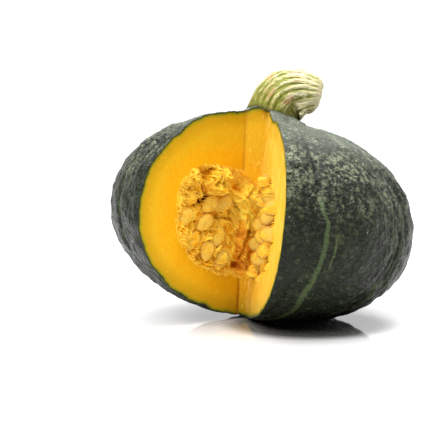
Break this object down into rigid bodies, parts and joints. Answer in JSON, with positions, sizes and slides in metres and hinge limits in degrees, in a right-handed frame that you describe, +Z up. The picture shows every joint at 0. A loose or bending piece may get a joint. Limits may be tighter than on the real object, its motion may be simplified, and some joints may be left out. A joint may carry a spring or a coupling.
{
  "type": "kabocha squash",
  "caption": "Cut kabocha squash lying on its flattened foot: ribbed dark green rind round deep yellow flesh, with a wedge taken out that shows pulp and seeds, and a bent corky stem.",
  "frame": {"origin": "middle of the object's box at the height of the surface it lies on", "axes": "+Z up, away from the surface; the cut wedge opens towards -Y; +X to the right when looking into the wedge, and the stem leans towards +X and +Y"},
  "size_m": [0.1888, 0.1802, 0.1598],
  "materials": {
    "rind_and_flesh": "low sheen, waxy and finely wrinkled rind; moist matte yellow-orange flesh on the cut faces",
    "pulp": "moist, stringy",
    "stem": "dry, corky and ridged",
    "seed": "smooth, slightly moist"
  },
  "bodies": {
    "root": {"squash_body": "rind_and_flesh", "pulp": "pulp", "stem": "stem", "seed_01": "seed", "seed_02": "seed", "seed_03": "seed", "seed_04": "seed", "seed_05": "seed", "seed_06": "seed", "seed_07": "seed", "seed_08": "seed", "seed_09": "seed", "seed_10": "seed", "seed_11": "seed", "seed_12": "seed", "seed_13": "seed", "seed_14": "seed", "seed_15": "seed", "seed_16": "seed", "seed_17": "seed", "seed_18": "seed", "seed_19": "seed", "seed_20": "seed", "seed_21": "seed", "seed_22": "seed"}
  },
  "joints": []
}
